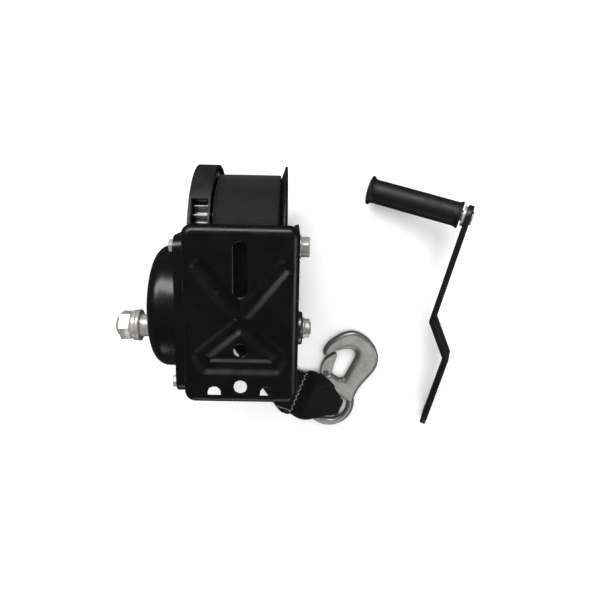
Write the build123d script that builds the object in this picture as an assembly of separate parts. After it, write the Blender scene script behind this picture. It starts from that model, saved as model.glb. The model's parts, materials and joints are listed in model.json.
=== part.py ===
from build123d import *
import math
import os

# Boat trailer winch with an automatic load brake, lying base plate up, with its crank beside it.
# X runs along the shafts, towards the drum's plain end. Z is the base plate's outward normal.
# The origin is the centre bolt hole's centre on the base plate's mounting face. Millimetres.

# ---- driving dimensions ----
FLOOR_Z = -146.0            # the surface that the winch and its crank lie on
SHEET = 3.5                 # pressed steel of the frame
BASE_WIDTH = 91.0
BASE_LOW_Y = -45.1
BASE_HIGH_Y = 98.4
BASE_CORNER = 8.5
BEND = 7.0                  # outer radius where the base turns down
SIDE_DEPTH = 112.0
LIP_DEPTH = 8.0
BASE_HOLE_R = 5.25
SLOT_CENTRE_Y = 64.4
SLOT_LENGTH = 43.6
SLOT_WIDTH = 10.8
FOOT_HOLE_X = 21.0
FOOT_HOLE_Y = -35.8
TOE_HOLE_Y = -30.3

MODULE = 2.5
PRESSURE_ANGLE = math.radians(25)
BACKLASH = 0.30
GEAR_TEETH = 50
PINION_TEETH = 12
CENTRE_DISTANCE = MODULE * (GEAR_TEETH + PINION_TEETH) / 2
DRUM_Y = 73.7
DRUM_Z = -76.0
SHAFT_Z = -82.0
SHAFT_Y = DRUM_Y - math.sqrt(CENTRE_DISTANCE**2 - (DRUM_Z - SHAFT_Z) ** 2)
GEAR_X0 = -38.3
GEAR_X1 = -25.7

GUARD_R = 70.0
GUARD_WALL = 2.4
GUARD_X0 = -41.7
GUARD_X1 = -24.7
FLANGE_R = 70.0
FLANGE_X = 29.2             # inner face of the drum's plain flange
DRUM_TUBE_R = 22.0
STRAP_WIDTH = 53.0
STRAP_THICK = 1.8
ROLL_R = 62.2
ROLL_X0 = -24.0
AXLE_R = 6.0

COVER_Y = 14.7
COVER_Z = -89.5
COVER_R = COVER_Z - FLOOR_Z
COVER_FACE_X = -85.5
COVER_SKIN = 1.8
TRAY_X = -58.0              # face of the cover's flange
BACK_X = -48.5              # outer face of the back plate
SHAFT_R = 8.0
SHAFT_THIN_R = 6.8          # past the pinion, where the drum's flange passes close by
HUB_R = 10.6

RATCHET_TEETH = 16
RATCHET_TIP_R = 33.0
RATCHET_ROOT_R = 27.0
RATCHET_X0 = -73.3
RATCHET_X1 = -67.7
PAWL_ANGLE = -15.0          # where the pawl meets the ratchet, degrees from +Y
CLEAR = 0.3

HOOK_CENTRE = (83.3, -102.0)
HOOK_TURN = -16.8           # the hook's long axis, degrees from +Y
HOOK_THICK = 10.0
HOOK_Z = FLOOR_Z + 6.0
RING_R = 26.0
RING_BAR = 8.0
STRAP_HEADING = -20.0       # the strap's run beside the winch, degrees from +X

GRIP_START = (114.5, 124.5) # free end of the grip, in plan
GRIP_HEADING = -14.2
GRIP_TILT = 18.0
ARM_ROLL = 10.8
GRIP_LENGTH = 90.0
GRIP_R = 11.6
GRIP_LIP_R = 14.2
GRIP_GAP = 7.3              # from the grip's end to the middle of the crank's bar
ARM_THICK = 5.6
ARM_JOGGLE = 25.0
CRANK_RADIUS = 213.0


# ---- helpers ----
def yz(x):
    """The plane at x whose own x and y are the winch's Y and Z."""
    return Plane(origin=(x, 0, 0), x_dir=(0, 1, 0), z_dir=(1, 0, 0))


def slab(sketch, x0, x1):
    """A sketch drawn in Y and Z, made solid from x0 to x1."""
    return extrude(yz(x0) * sketch, amount=x1 - x0)


def rod(radius, x0, x1, y, z):
    """A round bar along X."""
    return slab(Pos(y, z) * Circle(radius), x0, x1)


def tube(outer, inner, x0, x1, y, z):
    return rod(outer, x0, x1, y, z) - rod(inner, x0 - 1, x1 + 1, y, z)


def hexagon(across_flats, x0, x1, y, z, turn=0):
    flat = Pos(y, z) * Rot(0, 0, turn) * RegularPolygon(across_flats / math.sqrt(3), 6)
    return slab(flat, x0, x1)


def polar(radius, degrees, y=0.0, z=0.0):
    angle = math.radians(degrees)
    return (y + radius * math.cos(angle), z + radius * math.sin(angle))


def capsule(start, end, radius):
    """A straight slot between two points."""
    dx = end[0] - start[0]
    dy = end[1] - start[1]
    middle = ((start[0] + end[0]) / 2, (start[1] + end[1]) / 2)
    turn = math.degrees(math.atan2(dy, dx))
    return Pos(*middle) * Rot(0, 0, turn) * SlotCenterToCenter(math.hypot(dx, dy), 2 * radius)


def only(shape):
    """The largest solid of a shape."""
    return max(shape.solids(), key=lambda solid: solid.volume)


# ---- frame ----
def side_outline():
    corners = [
        (BASE_LOW_Y, 1),
        (BASE_LOW_Y, -62),
        (-30, -SIDE_DEPTH),
        (86, -SIDE_DEPTH),
        (BASE_HIGH_Y, -62),
        (BASE_HIGH_Y, 1),
    ]
    outline = make_face(Polyline(*corners, close=True))
    low = outline.vertices().filter_by(lambda v: v.Y < -10)
    return fillet(low, 14)


def groove_lines():
    """Centre lines of the grooves pressed into the base plate: a cross with its foot closed."""
    for side in (-1, 1):
        yield (0, 27), (side * 32.5, 66.5)
        yield (0, 22), (side * 32.0, -5.5)
        yield (side * 32.0, -5.5), (side * 27.0, -13.5)
    yield (-27.0, -13.5), (27.0, -13.5)
    yield (0, 20), (0, 29)


def groove(start, end, half_width, depth, z):
    return extrude(Pos(0, 0, z) * capsule(start, end, half_width), amount=-depth, taper=38)


def frame_channel():
    centre_y = (BASE_LOW_Y + BASE_HIGH_Y) / 2
    length = BASE_HIGH_Y - BASE_LOW_Y
    plan = Pos(0, centre_y) * RectangleRounded(BASE_WIDTH, length, BASE_CORNER)
    outer = extrude(plan, amount=-SIDE_DEPTH)
    outer = fillet(outer.edges().group_by(Axis.Z)[-1], BEND)
    hollow = Pos(0, centre_y, -SHEET) * RectangleRounded(
        BASE_WIDTH - 2 * SHEET, length - 2 * SHEET, BASE_CORNER - SHEET
    )
    hollow = extrude(hollow, amount=-SIDE_DEPTH)
    shell = outer - fillet(hollow.edges().group_by(Axis.Z)[-1], BEND - SHEET)
    inside = BASE_WIDTH - 2 * SHEET
    gap_depth = SIDE_DEPTH - LIP_DEPTH
    for y in (BASE_LOW_Y, BASE_HIGH_Y):
        shell -= Pos(0, y, -LIP_DEPTH - gap_depth / 2) * Box(inside, 4 * SHEET, gap_depth + 0.1)
    shell &= slab(side_outline(), -BASE_WIDTH, BASE_WIDTH)
    for start, end in groove_lines():
        shell += groove(start, end, 7.0, 2.0, -SHEET)
    for start, end in groove_lines():
        shell -= groove(start, end, 6.2, 2.3, 0)
    cutters = [Pos(0, 0) * Circle(BASE_HOLE_R), Pos(0, TOE_HOLE_Y) * Circle(BASE_HOLE_R)]
    cutters += [Pos(side * FOOT_HOLE_X, FOOT_HOLE_Y) * Circle(BASE_HOLE_R) for side in (-1, 1)]
    cutters += [Pos(0, SLOT_CENTRE_Y) * Rot(0, 0, 90) * SlotOverall(SLOT_LENGTH, SLOT_WIDTH)]
    for cutter in cutters:
        shell -= extrude(Pos(0, 0, 1) * cutter, amount=-12)
    shell -= rod(AXLE_R + 0.1, -60, 60, DRUM_Y, DRUM_Z)
    shell -= rod(13.0, -60, 60, SHAFT_Y, SHAFT_Z)
    for y, z in guard_screw_places():
        shell -= rod(2.1, -60, -30, y, z)
    return only(shell)


def guard_screw_places():
    return [polar(48, degrees, DRUM_Y, DRUM_Z) for degrees in (20, -25, 118)]


def gear_guard():
    """A channel round the drum gear, open towards the pinion, with a window under the base."""
    guard = tube(GUARD_R, GUARD_R - GUARD_WALL, GUARD_X0, GUARD_X1, DRUM_Y, DRUM_Z)
    guard += tube(GUARD_R, 42, GUARD_X0, GUARD_X0 + GUARD_WALL, DRUM_Y, DRUM_Z)
    opening = [(0, 0)] + [polar(120, degrees) for degrees in (126, 155, 180, 205, 225)]
    guard -= slab(Pos(DRUM_Y, DRUM_Z) * make_face(Polyline(*opening, close=True)), -60, 0)
    window = [(0, 0), polar(120, 52), polar(120, 75), polar(120, 99)]
    keep = 1.6
    guard -= slab(
        Pos(DRUM_Y, DRUM_Z) * make_face(Polyline(*window, close=True)) - Pos(DRUM_Y, DRUM_Z) * Circle(60),
        GUARD_X0 + GUARD_WALL,
        GUARD_X1 - keep,
    )
    for y, z in guard_screw_places():
        guard -= rod(2.1, -60, -30, y, z)
    return only(guard)


def guard_screws():
    screws = []
    for y, z in guard_screw_places():
        head = rod(3.6, -BASE_WIDTH / 2 - 2.2, -BASE_WIDTH / 2, y, z)
        screws.append(head + rod(2.0, -BASE_WIDTH / 2, GUARD_X0 + GUARD_WALL, y, z))
    return Compound(screws)


# ---- gears ----
def involute(angle):
    return math.tan(angle) - angle


def tooth_half_angle(teeth, radius):
    """Half a tooth's width at a radius, as an angle at the gear's centre."""
    pitch_r = MODULE * teeth / 2
    base_r = pitch_r * math.cos(PRESSURE_ANGLE)
    at_pitch = math.pi / (2 * teeth) - BACKLASH / (4 * pitch_r)
    pressure = math.acos(min(1.0, base_r / radius))
    return at_pitch + involute(PRESSURE_ANGLE) - involute(pressure)


def gear_outline(teeth, first_tooth):
    """An involute gear's outline, with a tooth centred on first_tooth in radians."""
    pitch_r = MODULE * teeth / 2
    tip_r = pitch_r + MODULE
    root_r = pitch_r - 1.25 * MODULE
    start_r = max(root_r, pitch_r * math.cos(PRESSURE_ANGLE) + 0.01)
    middle_r = (start_r + tip_r) / 2

    def point(radius, angle):
        return (radius * math.cos(angle), radius * math.sin(angle))

    edges = []
    for tooth in range(teeth):
        middle = first_tooth + 2 * math.pi * tooth / teeth
        following = middle + 2 * math.pi / teeth
        foot = tooth_half_angle(teeth, start_r)
        waist = tooth_half_angle(teeth, middle_r)
        crest = tooth_half_angle(teeth, tip_r)
        if start_r > root_r:
            edges.append(Line(point(root_r, middle - foot), point(start_r, middle - foot)))
        edges.append(
            ThreePointArc(
                point(start_r, middle - foot), point(middle_r, middle - waist), point(tip_r, middle - crest)
            )
        )
        edges.append(Line(point(tip_r, middle - crest), point(tip_r, middle + crest)))
        edges.append(
            ThreePointArc(
                point(tip_r, middle + crest), point(middle_r, middle + waist), point(start_r, middle + foot)
            )
        )
        if start_r > root_r:
            edges.append(Line(point(start_r, middle + foot), point(root_r, middle + foot)))
        edges.append(Line(point(root_r, middle + foot), point(root_r, following - foot)))
    return Face(Wire(edges))


def line_of_centres():
    """Angle of the pinion seen from the drum, in the Y-Z plane."""
    return math.atan2(SHAFT_Z - DRUM_Z, SHAFT_Y - DRUM_Y)


def drum_gear():
    gear = slab(Pos(DRUM_Y, DRUM_Z) * gear_outline(GEAR_TEETH, line_of_centres()), GEAR_X0, GEAR_X1)
    web_x0 = GEAR_X0 + 4
    web_x1 = GEAR_X1 - 3
    gear -= tube(54, 27, GEAR_X0 - 1, web_x0, DRUM_Y, DRUM_Z)
    gear -= tube(54, 27, web_x1, GEAR_X1 + 1, DRUM_Y, DRUM_Z)
    for spoke in range(5):
        y, z = polar(40.5, 36 + 72 * spoke, DRUM_Y, DRUM_Z)
        gear -= rod(9, GEAR_X0 - 1, GEAR_X1 + 1, y, z)
    gear -= rod(9, GEAR_X0 - 1, GEAR_X1 + 1, DRUM_Y, DRUM_Z)
    anchor_y, anchor_z = anchor_place()
    gear -= rod(4.1, GEAR_X0 - 1, GEAR_X1 + 1, anchor_y, anchor_z)
    return gear


def pinion():
    gap_first = line_of_centres() + math.pi + math.pi / PINION_TEETH
    body = slab(Pos(SHAFT_Y, SHAFT_Z) * gear_outline(PINION_TEETH, gap_first), GEAR_X0, GEAR_X1)
    body -= rod(SHAFT_R, GEAR_X0 - 1, GEAR_X1 + 1, SHAFT_Y, SHAFT_Z)
    return body


# ---- drum ----
def anchor_place():
    return polar(13.2, 215, DRUM_Y, DRUM_Z)


def drum_tube():
    shell = tube(DRUM_TUBE_R, DRUM_TUBE_R - 3, GEAR_X1, FLANGE_X, DRUM_Y, DRUM_Z)
    slot = Pos(DRUM_Y, DRUM_Z) * Rot(0, 0, 215) * Pos(20, 0) * Rectangle(14, 5)
    return only(shell - slab(slot, ROLL_X0 - 0.6, FLANGE_X - 0.2))


def drum_flange():
    """A flat disc whose rim flares outward."""
    flat_r = 60
    flare = 3.2
    skin = 2.0
    profile = [
        (FLANGE_X, 9),
        (FLANGE_X, flat_r),
        (FLANGE_X + flare, FLANGE_R - 0.5),
        (FLANGE_X + flare + 1.0, FLANGE_R),
        (FLANGE_X + flare + skin, FLANGE_R - 0.8),
        (FLANGE_X + skin, flat_r - 0.5),
        (FLANGE_X + skin, 9),
    ]
    section = make_face(Polyline(*profile, close=True))
    disc = revolve(section, Axis((0, 0, 0), (1, 0, 0)))
    disc = Pos(0, DRUM_Y, DRUM_Z) * disc
    anchor_y, anchor_z = anchor_place()
    return disc - rod(4.1, 20, 40, anchor_y, anchor_z)


def drum_bushes():
    bushes = []
    for x0, x1 in ((GEAR_X0, GEAR_X1), (FLANGE_X, FLANGE_X + 5.4)):
        bushes.append(tube(8.9, AXLE_R + 0.05, x0, x1, DRUM_Y, DRUM_Z))
    return Compound(bushes)


def strap_anchor_pin():
    y, z = anchor_place()
    return rod(4, GEAR_X0 + 1, FLANGE_X + 2, y, z) + rod(4.2, FLANGE_X + 2, FLANGE_X + 5, y, z)


def strap_roll():
    """The wound strap, with its inner end led through the drum's slot and round the anchor pin."""
    x1 = ROLL_X0 + STRAP_WIDTH
    roll = tube(ROLL_R, DRUM_TUBE_R + 0.2, ROLL_X0, x1, DRUM_Y, DRUM_Z)
    lead = Pos(DRUM_Y, DRUM_Z) * Rot(0, 0, 215) * Pos(20.5, 0) * Rectangle(6, 2 * STRAP_THICK)
    y, z = anchor_place()
    roll += slab(lead, ROLL_X0, x1)
    roll += tube(4.2 + STRAP_THICK, 4.2, ROLL_X0, x1, y, z)
    return only(roll)


def drum_axle_bolt():
    shank = rod(AXLE_R, -55.8, 47.5, DRUM_Y, DRUM_Z)
    head = hexagon(17, 47.5, 55, DRUM_Y, DRUM_Z, 12) & rod(9.4, 47.5, 55, DRUM_Y, DRUM_Z)
    return shank + head


def drum_axle_nut():
    nut = hexagon(17, -55.6, -50.6, DRUM_Y, DRUM_Z, 7)
    return nut - rod(AXLE_R, -70, -40, DRUM_Y, DRUM_Z)


def drum_axle_washers():
    right = tube(10.5, AXLE_R + 0.1, BASE_WIDTH / 2, 47.5, DRUM_Y, DRUM_Z)
    left = tube(10.5, AXLE_R + 0.1, -50.6, BACK_X, DRUM_Y, DRUM_Z)
    return Compound([right, left])


def drum_spacers():
    """Thin washers that keep the drum centred between the side plates."""
    inside = BASE_WIDTH / 2 - SHEET
    left = tube(12, AXLE_R + 0.1, -inside, GEAR_X0 - 0.3, DRUM_Y, DRUM_Z)
    right = tube(12, AXLE_R + 0.1, FLANGE_X + 5.6, inside, DRUM_Y, DRUM_Z)
    return Compound([left, right])


# ---- drive shaft and brake ----
def drive_shaft():
    """A plain shaft with a thinner right end and a flat along its crank end."""
    shaft = rod(SHAFT_R, -118.5, GEAR_X1 + 8, SHAFT_Y, SHAFT_Z)
    shaft += rod(SHAFT_THIN_R, GEAR_X1 + 8, 50.5, SHAFT_Y, SHAFT_Z)
    shaft += rod(6, 50.5, 58, SHAFT_Y, SHAFT_Z)
    flat = Pos(-110, SHAFT_Y, SHAFT_Z + SHAFT_R) * Box(20, 20, 3)
    return only(shaft - flat)


def bearing_bush(x0, x1):
    flange = tube(15, SHAFT_R + 0.05, x0, x0 + 2, SHAFT_Y, SHAFT_Z)
    return flange + tube(12.9, SHAFT_R + 0.05, x0, x1, SHAFT_Y, SHAFT_Z)


def left_bearing_bush():
    return bearing_bush(-50.5, -40.6)


def right_bearing_bush():
    return tube(12.9, SHAFT_THIN_R + 0.05, 38.4, 48.5, SHAFT_Y, SHAFT_Z)


def right_bearing_housing():
    cup = rod(15.6, BASE_WIDTH / 2, 50.2, SHAFT_Y, SHAFT_Z)
    cup = chamfer(cup.edges().group_by(Axis.X)[-1], 1.2)
    cup -= rod(12.9, 40, 48.5, SHAFT_Y, SHAFT_Z)
    return cup - rod(SHAFT_THIN_R + 0.5, 40, 60, SHAFT_Y, SHAFT_Z)


def shaft_right_washer():
    return tube(10, 6.1, 50.5, 52, SHAFT_Y, SHAFT_Z)


def shaft_right_nut():
    nut = hexagon(17, 52, 57, SHAFT_Y, SHAFT_Z, 20) & rod(9.4, 52, 57, SHAFT_Y, SHAFT_Z)
    return nut - rod(6, 40, 70, SHAFT_Y, SHAFT_Z)


def pinion_collar():
    return tube(12, SHAFT_R, GEAR_X1, GEAR_X1 + 8, SHAFT_Y, SHAFT_Z)


def brake_flange():
    """The disc fixed on the shaft that the inner lining rubs on."""
    disc = rod(25, -65.2, -62, SHAFT_Y, SHAFT_Z) + rod(13, -62, -52, SHAFT_Y, SHAFT_Z)
    return disc - rod(SHAFT_R, -80, -40, SHAFT_Y, SHAFT_Z)


def friction_disc(x0, x1):
    return tube(25, 12.5, x0, x1, SHAFT_Y, SHAFT_Z)


def brake_hub():
    """The hub that screws along the shaft and squeezes the ratchet wheel."""
    disc = rod(25, -79.5, -75.8, SHAFT_Y, SHAFT_Z) + rod(HUB_R, -100.2, -79.5, SHAFT_Y, SHAFT_Z)
    disc += rod(12.2, -75.8, -65.2, SHAFT_Y, SHAFT_Z)
    return disc - rod(SHAFT_R, -110, -40, SHAFT_Y, SHAFT_Z)


def ratchet_wheel():
    points = []
    pitch = 360 / RATCHET_TEETH
    for tooth in range(RATCHET_TEETH):
        face = PAWL_ANGLE - 0.8 + tooth * pitch
        points.append(polar(RATCHET_TIP_R, face, SHAFT_Y, SHAFT_Z))
        points.append(polar(RATCHET_ROOT_R, face, SHAFT_Y, SHAFT_Z))
    wheel = slab(make_face(Polyline(*points, close=True)), RATCHET_X0, RATCHET_X1)
    return wheel - rod(13.8, -80, -60, SHAFT_Y, SHAFT_Z)


def ratchet_bush():
    return tube(13.8, 12.27, RATCHET_X0, RATCHET_X1, SHAFT_Y, SHAFT_Z)


def pawl_pivot():
    tip_y, tip_z = polar(31.5, PAWL_ANGLE, SHAFT_Y, SHAFT_Z)
    out_y, out_z = polar(6, PAWL_ANGLE)
    along_y, along_z = polar(22, PAWL_ANGLE + 90)
    return tip_y + out_y + along_y, tip_z + out_z + along_z


def pawl():
    """A finger whose square end stands in a ratchet notch."""
    y, z = pawl_pivot()
    points = [
        polar(28.8, PAWL_ANGLE + 3.6, SHAFT_Y, SHAFT_Z),
        polar(38.5, PAWL_ANGLE, SHAFT_Y, SHAFT_Z),
        (y + 6.2, z - 3),
        (y, z),
        (y - 6.8, z - 1),
        polar(32.4, PAWL_ANGLE + 12, SHAFT_Y, SHAFT_Z),
    ]
    finger = make_face(Polyline(*points, close=True)) + Pos(y, z) * Circle(7)
    return slab(finger - Pos(y, z) * Circle(4.06), RATCHET_X0 + 0.3, RATCHET_X1 - 0.3)


def pawl_pin():
    y, z = pawl_pivot()
    pin = rod(4, -76.5, -45.8, y, z) + rod(6.5, RATCHET_X1 + 0.2, BACK_X, y, z)
    return pin


def pawl_clip():
    y, z = pawl_pivot()
    return tube(6.4, 4, -74.9, -73.9, y, z)


def pawl_spring():
    """A flat coil round the pin's collar."""
    y, z = pawl_pivot()
    coils = [tube(8.4, 7.0, x, x + 1.2, y, z) for x in (-65.5, -63.7, -61.9)]
    coils.append(Pos(-63, y, z + 7.7) * Box(6.2, 1.2, 1.2))
    return only(coils[0] + coils[1] + coils[2] + coils[3])


def shaft_end_washer():
    """A thick plain washer between the hub and the nut."""
    washer = tube(14.8, SHAFT_R + 0.1, -103.6, -100.4, SHAFT_Y, SHAFT_Z)
    return chamfer(washer.edges().group_by(Axis.X)[0], 0.6)


def shaft_end_nut():
    """A domed hexagon nut with a flange."""
    shoulder = -118.3
    tip = -123.3
    flange = rod(14.2, -108.9, -103.8, SHAFT_Y, SHAFT_Z)
    flange = chamfer(flange.edges().group_by(Axis.X)[0], 2.5)
    body = hexagon(24, shoulder, -108.9, SHAFT_Y, SHAFT_Z, 30)
    arc = ThreePointArc((shoulder, 11.4), (-121.9, 7.2), (tip, 1))
    section = make_face(arc + Polyline((tip, 1), (tip, 0), (-110, 0), (-110, 11.4), (shoulder, 11.4)))
    dome = Pos(0, SHAFT_Y, SHAFT_Z) * revolve(section, Axis((0, 0, 0), (1, 0, 0)))
    return body + dome + flange - rod(SHAFT_R, -118.5, -100, SHAFT_Y, SHAFT_Z)


# ---- brake cover ----
def cover_outline(shrink):
    width = 136 - 2 * shrink
    height = 92 - 2 * shrink
    plate = Pos(18, -76) * RectangleRounded(width, height, 12 - shrink)
    return plate + Pos(COVER_Y, COVER_Z) * Circle(COVER_R - 0.1 - shrink)


def cover_screw_places():
    return [(77.3, -38), (-41, -38), (77.3, -114), (-43.5, -114)]


def dome_solid(shrink):
    """The dome as a solid of revolution: a straight skirt, a wide round shoulder, a flat face."""
    face_x = COVER_FACE_X + shrink
    radius = COVER_R - shrink
    skirt_x = -71.5
    flat_r = 34.0
    fullness = 0.766
    middle = (skirt_x + fullness * (face_x - skirt_x), flat_r + fullness * (radius - flat_r))
    shoulder = Spline((skirt_x, radius), middle, (face_x, flat_r), tangents=((-1, 0), (0, -1)))
    profile = Polyline((face_x, flat_r), (face_x, 0), (-54, 0), (-54, radius), (skirt_x, radius))
    return Pos(0, COVER_Y, COVER_Z) * revolve(make_face(shoulder + profile), Axis((0, 0, 0), (1, 0, 0)))


def brake_cover():
    outer = slab(cover_outline(0), TRAY_X, BACK_X) + dome_solid(0)
    inner = slab(cover_outline(COVER_SKIN), TRAY_X + COVER_SKIN, BACK_X + 5) + dome_solid(COVER_SKIN)
    cover = outer - inner
    cover -= rod(HUB_R + 1.2, -100, -80, SHAFT_Y, SHAFT_Z)
    for y, z in cover_screw_places():
        cover -= rod(3.2, -62, -50, y, z)
    return only(cover & slab(Pos(20, -70) * Rectangle(300, 300), -100, BACK_X))


def back_plate():
    plate = slab(cover_outline(0), BACK_X, -BASE_WIDTH / 2)
    plate -= rod(AXLE_R + 0.1, -60, -40, DRUM_Y, DRUM_Z)
    plate -= rod(13.0, -60, -40, SHAFT_Y, SHAFT_Z)
    plate -= rod(4.0, -60, -40, *pawl_pivot())
    for y, z in cover_screw_places():
        plate -= rod(2.9, -60, -40, y, z)
    for y, z in guard_screw_places():
        plate -= rod(4.2, -60, -40, y, z)
    return only(plate)


def cover_screws():
    screws = []
    for y, z in cover_screw_places():
        head = hexagon(10, TRAY_X - 3.6, TRAY_X, y, z, 15)
        screws.append(head + rod(2.9, TRAY_X, -BASE_WIDTH / 2, y, z))
    return Compound(screws)


# ---- strap tail, loop and snap hook ----
def hook_frame(z):
    return Plane(origin=(*HOOK_CENTRE, z), x_dir=Vector(1, 0, 0).rotate(Axis.Z, HOOK_TURN), z_dir=(0, 0, 1))


def strap_frame(z):
    """Own x along the strap's run beside the winch, starting at its stitched end."""
    return Plane(
        origin=(50.9, -93.2, z), x_dir=Vector(1, 0, 0).rotate(Axis.Z, STRAP_HEADING), z_dir=(0, 0, 1)
    )


def strap_tail():
    """The free end: down from the roll, along the floor, then folded over towards the hook."""
    lift = DRUM_Z - ROLL_R - CLEAR - STRAP_THICK - FLOOR_Z
    side = [
        (DRUM_Y, FLOOR_Z + lift),
        (DRUM_Y, FLOOR_Z + lift + STRAP_THICK),
        (30, FLOOR_Z + STRAP_THICK),
        (-40, FLOOR_Z + STRAP_THICK),
        (-40, FLOOR_Z),
        (30, FLOOR_Z),
    ]
    falling = slab(make_face(Polyline(*side, close=True)), ROLL_X0, ROLL_X0 + STRAP_WIDTH)
    half = STRAP_WIDTH / 2
    under = [(ROLL_X0, -38), (ROLL_X0 + STRAP_WIDTH, -38), (ROLL_X0 + STRAP_WIDTH, -113.6)]
    folded = extrude(Pos(0, 0, FLOOR_Z) * make_face(Polyline(*under, close=True)), amount=STRAP_THICK)
    over = [(0, -half), (0, half), (-89.3, half), (-13.6, -half)]
    across = extrude(strap_frame(FLOOR_Z) * make_face(Polyline(*over, close=True)), amount=2 * STRAP_THICK)
    return only(falling + folded + across - hinge_roll(2.0, STRAP_WIDTH + 2))


def hinge_roll(radius, length):
    """The rolled seam that the sewn loop bends about, along the stitch line."""
    seam = strap_frame(FLOOR_Z + 2 * STRAP_THICK)
    return Plane(origin=seam.origin, z_dir=seam.y_dir) * Cylinder(radius, length)


def strap_loop():
    """The sewn loop that holds the hook's ring: two layers, joined past the ring's bar."""
    outline = [
        (0.4, -29),
        (0.4, 26.5),
        (14, 28.5),
        (29, 23),
        (41, 14),
        (45, 3),
        (46.5, -10),
        (30, -22.5),
        (14, -29.5),
    ]
    height = HOOK_Z - FLOOR_Z + RING_BAR / 2 + CLEAR + STRAP_THICK
    loop = extrude(strap_frame(FLOOR_Z) * make_face(Polyline(*outline, close=True)), amount=height)
    hollow = strap_frame(FLOOR_Z + STRAP_THICK) * Pos(24.2, 0) * Rectangle(35.4, 80)
    loop -= extrude(hollow, amount=height - 2 * STRAP_THICK)
    return only(loop + hinge_roll(1.7, STRAP_WIDTH))


def hook_outline():
    """The hook in plan, its ring centred on its own origin and its bowl along its own Y."""
    body = make_face(
        Polyline((24.6, 5), (24.6, 20), (28.5, 35), (34.6, 50))
        + ThreePointArc((34.6, 50), (6, 84), (-24.5, 58))
        + Polyline((-24.5, 58), (-23.5, 48), (-20, 45.5), (-12.5, 53))
        + ThreePointArc((-12.5, 53), (0, 64), (9, 57))
        + Polyline((9, 57), (8.5, 50), (5.4, 28), (-8, 27), (-19, 31), (-21.5, 26), (-18, 17), (24.6, 5))
    )
    ring = Circle(RING_R)
    return body + ring - Circle(RING_R - RING_BAR)


def snap_hook():
    low = HOOK_Z - HOOK_THICK / 2
    hook = extrude(hook_frame(low) * hook_outline(), amount=HOOK_THICK)
    seat = [(-30, 18), (-30, 46), (-8.8, 46), (-8.8, 24)]
    for z in (low - 1, HOOK_Z + 2.4):
        pocket = extrude(hook_frame(z) * make_face(Polyline(*seat, close=True)), amount=HOOK_THICK / 2 - 1.4)
        hook -= pocket
    for z in (low - 1, HOOK_Z + RING_BAR / 2):
        hook -= extrude(hook_frame(z) * Circle(RING_R + 6), amount=2)
    hook -= extrude(hook_frame(low - 1) * Pos(-14.5, 30.5) * Circle(2.1), amount=HOOK_THICK + 2)
    return only(hook)


def latch_rivet():
    low = HOOK_Z - HOOK_THICK / 2
    pin = extrude(hook_frame(low + 0.1) * Pos(-14.5, 30.5) * Circle(2), amount=HOOK_THICK - 0.2)
    for z in (low + 0.1, low + HOOK_THICK - 1.1):
        pin += extrude(hook_frame(z) * Pos(-14.5, 30.5) * Circle(3.4), amount=1.0)
    return pin


def snap_latch():
    """A stamped channel that bears on the inside of the hook's tip."""
    outline = [(-18.5, 26.5), (-10.5, 26.5), (-9.2, 33), (-9.4, 53.2), (-11.4, 53.2), (-17.0, 43), (-19.6, 32)]
    plate = make_face(Polyline(*outline, close=True))
    cheeks = extrude(hook_frame(HOOK_Z - 3.8) * plate, amount=7.6)
    gap = [(-30, 20), (-8, 20), (-8, 36), (-30, 36)]
    cheeks -= extrude(hook_frame(HOOK_Z - 2.6) * make_face(Polyline(*gap, close=True)), amount=5.2)
    cheeks -= extrude(hook_frame(HOOK_Z - 6) * Pos(-14.5, 30.5) * Circle(2.06), amount=12)
    return only(cheeks)


# ---- crank handle ----
def handle_frame():
    """Own X along the grip towards the bar, own -Y down the bar, own Z across the bar's width."""
    heading = math.radians(GRIP_HEADING)
    tilt = math.radians(GRIP_TILT)
    grip = Vector(
        math.cos(heading) * math.cos(tilt), math.sin(heading) * math.cos(tilt), math.sin(tilt)
    )
    level = Vector(-math.sin(heading), math.cos(heading), 0)
    back = level.rotate(Axis((0, 0, 0), grip), ARM_ROLL)
    start = Vector(*GRIP_START, FLOOR_Z + GRIP_LIP_R * math.cos(tilt))
    origin = start + grip * (GRIP_LENGTH + GRIP_GAP)
    return Plane(origin=origin, x_dir=grip, z_dir=grip.cross(back))


def along_grip(radius, x0, x1):
    """A round bar along the grip's axis, in the handle's own frame."""
    return Pos(x0, 0, 0) * Rot(0, 90, 0) * Cylinder(
        radius, x1 - x0, align=(Align.CENTER, Align.CENTER, Align.MIN)
    )


def handle_arm():
    half = ARM_THICK / 2
    first = -107.5
    second = -141.8
    bend = math.atan2(ARM_JOGGLE, first - second)
    mitre = half * math.tan(bend / 2)
    end = -CRANK_RADIUS - 13
    side = Polyline(
        (-half, 12),
        (-half, first - mitre),
        (ARM_JOGGLE - half, second - mitre),
        (ARM_JOGGLE - half, end),
        (ARM_JOGGLE + half, end),
        (ARM_JOGGLE + half, second + mitre),
        (half, first + mitre),
        (half, 12),
        close=True,
    )
    bar = extrude(Pos(0, 0, -20) * make_face(side), amount=40)
    front = Circle(11.5) + Pos(-CRANK_RADIUS, 0) * Circle(13)
    front += make_face(
        Polyline((0, 11.5), (-CRANK_RADIUS, 13), (-CRANK_RADIUS, -13), (0, -11.5), close=True)
    )
    across = Plane(origin=(-20, 0, 0), x_dir=(0, 1, 0), z_dir=(1, 0, 0))
    bar &= extrude(across * front, amount=80)
    bar -= along_grip(5.0, -10, 10)
    bar -= Pos(0, -CRANK_RADIUS, 0) * along_grip(SHAFT_R + 0.1, 0, 60)
    return handle_frame() * only(bar)


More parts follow.
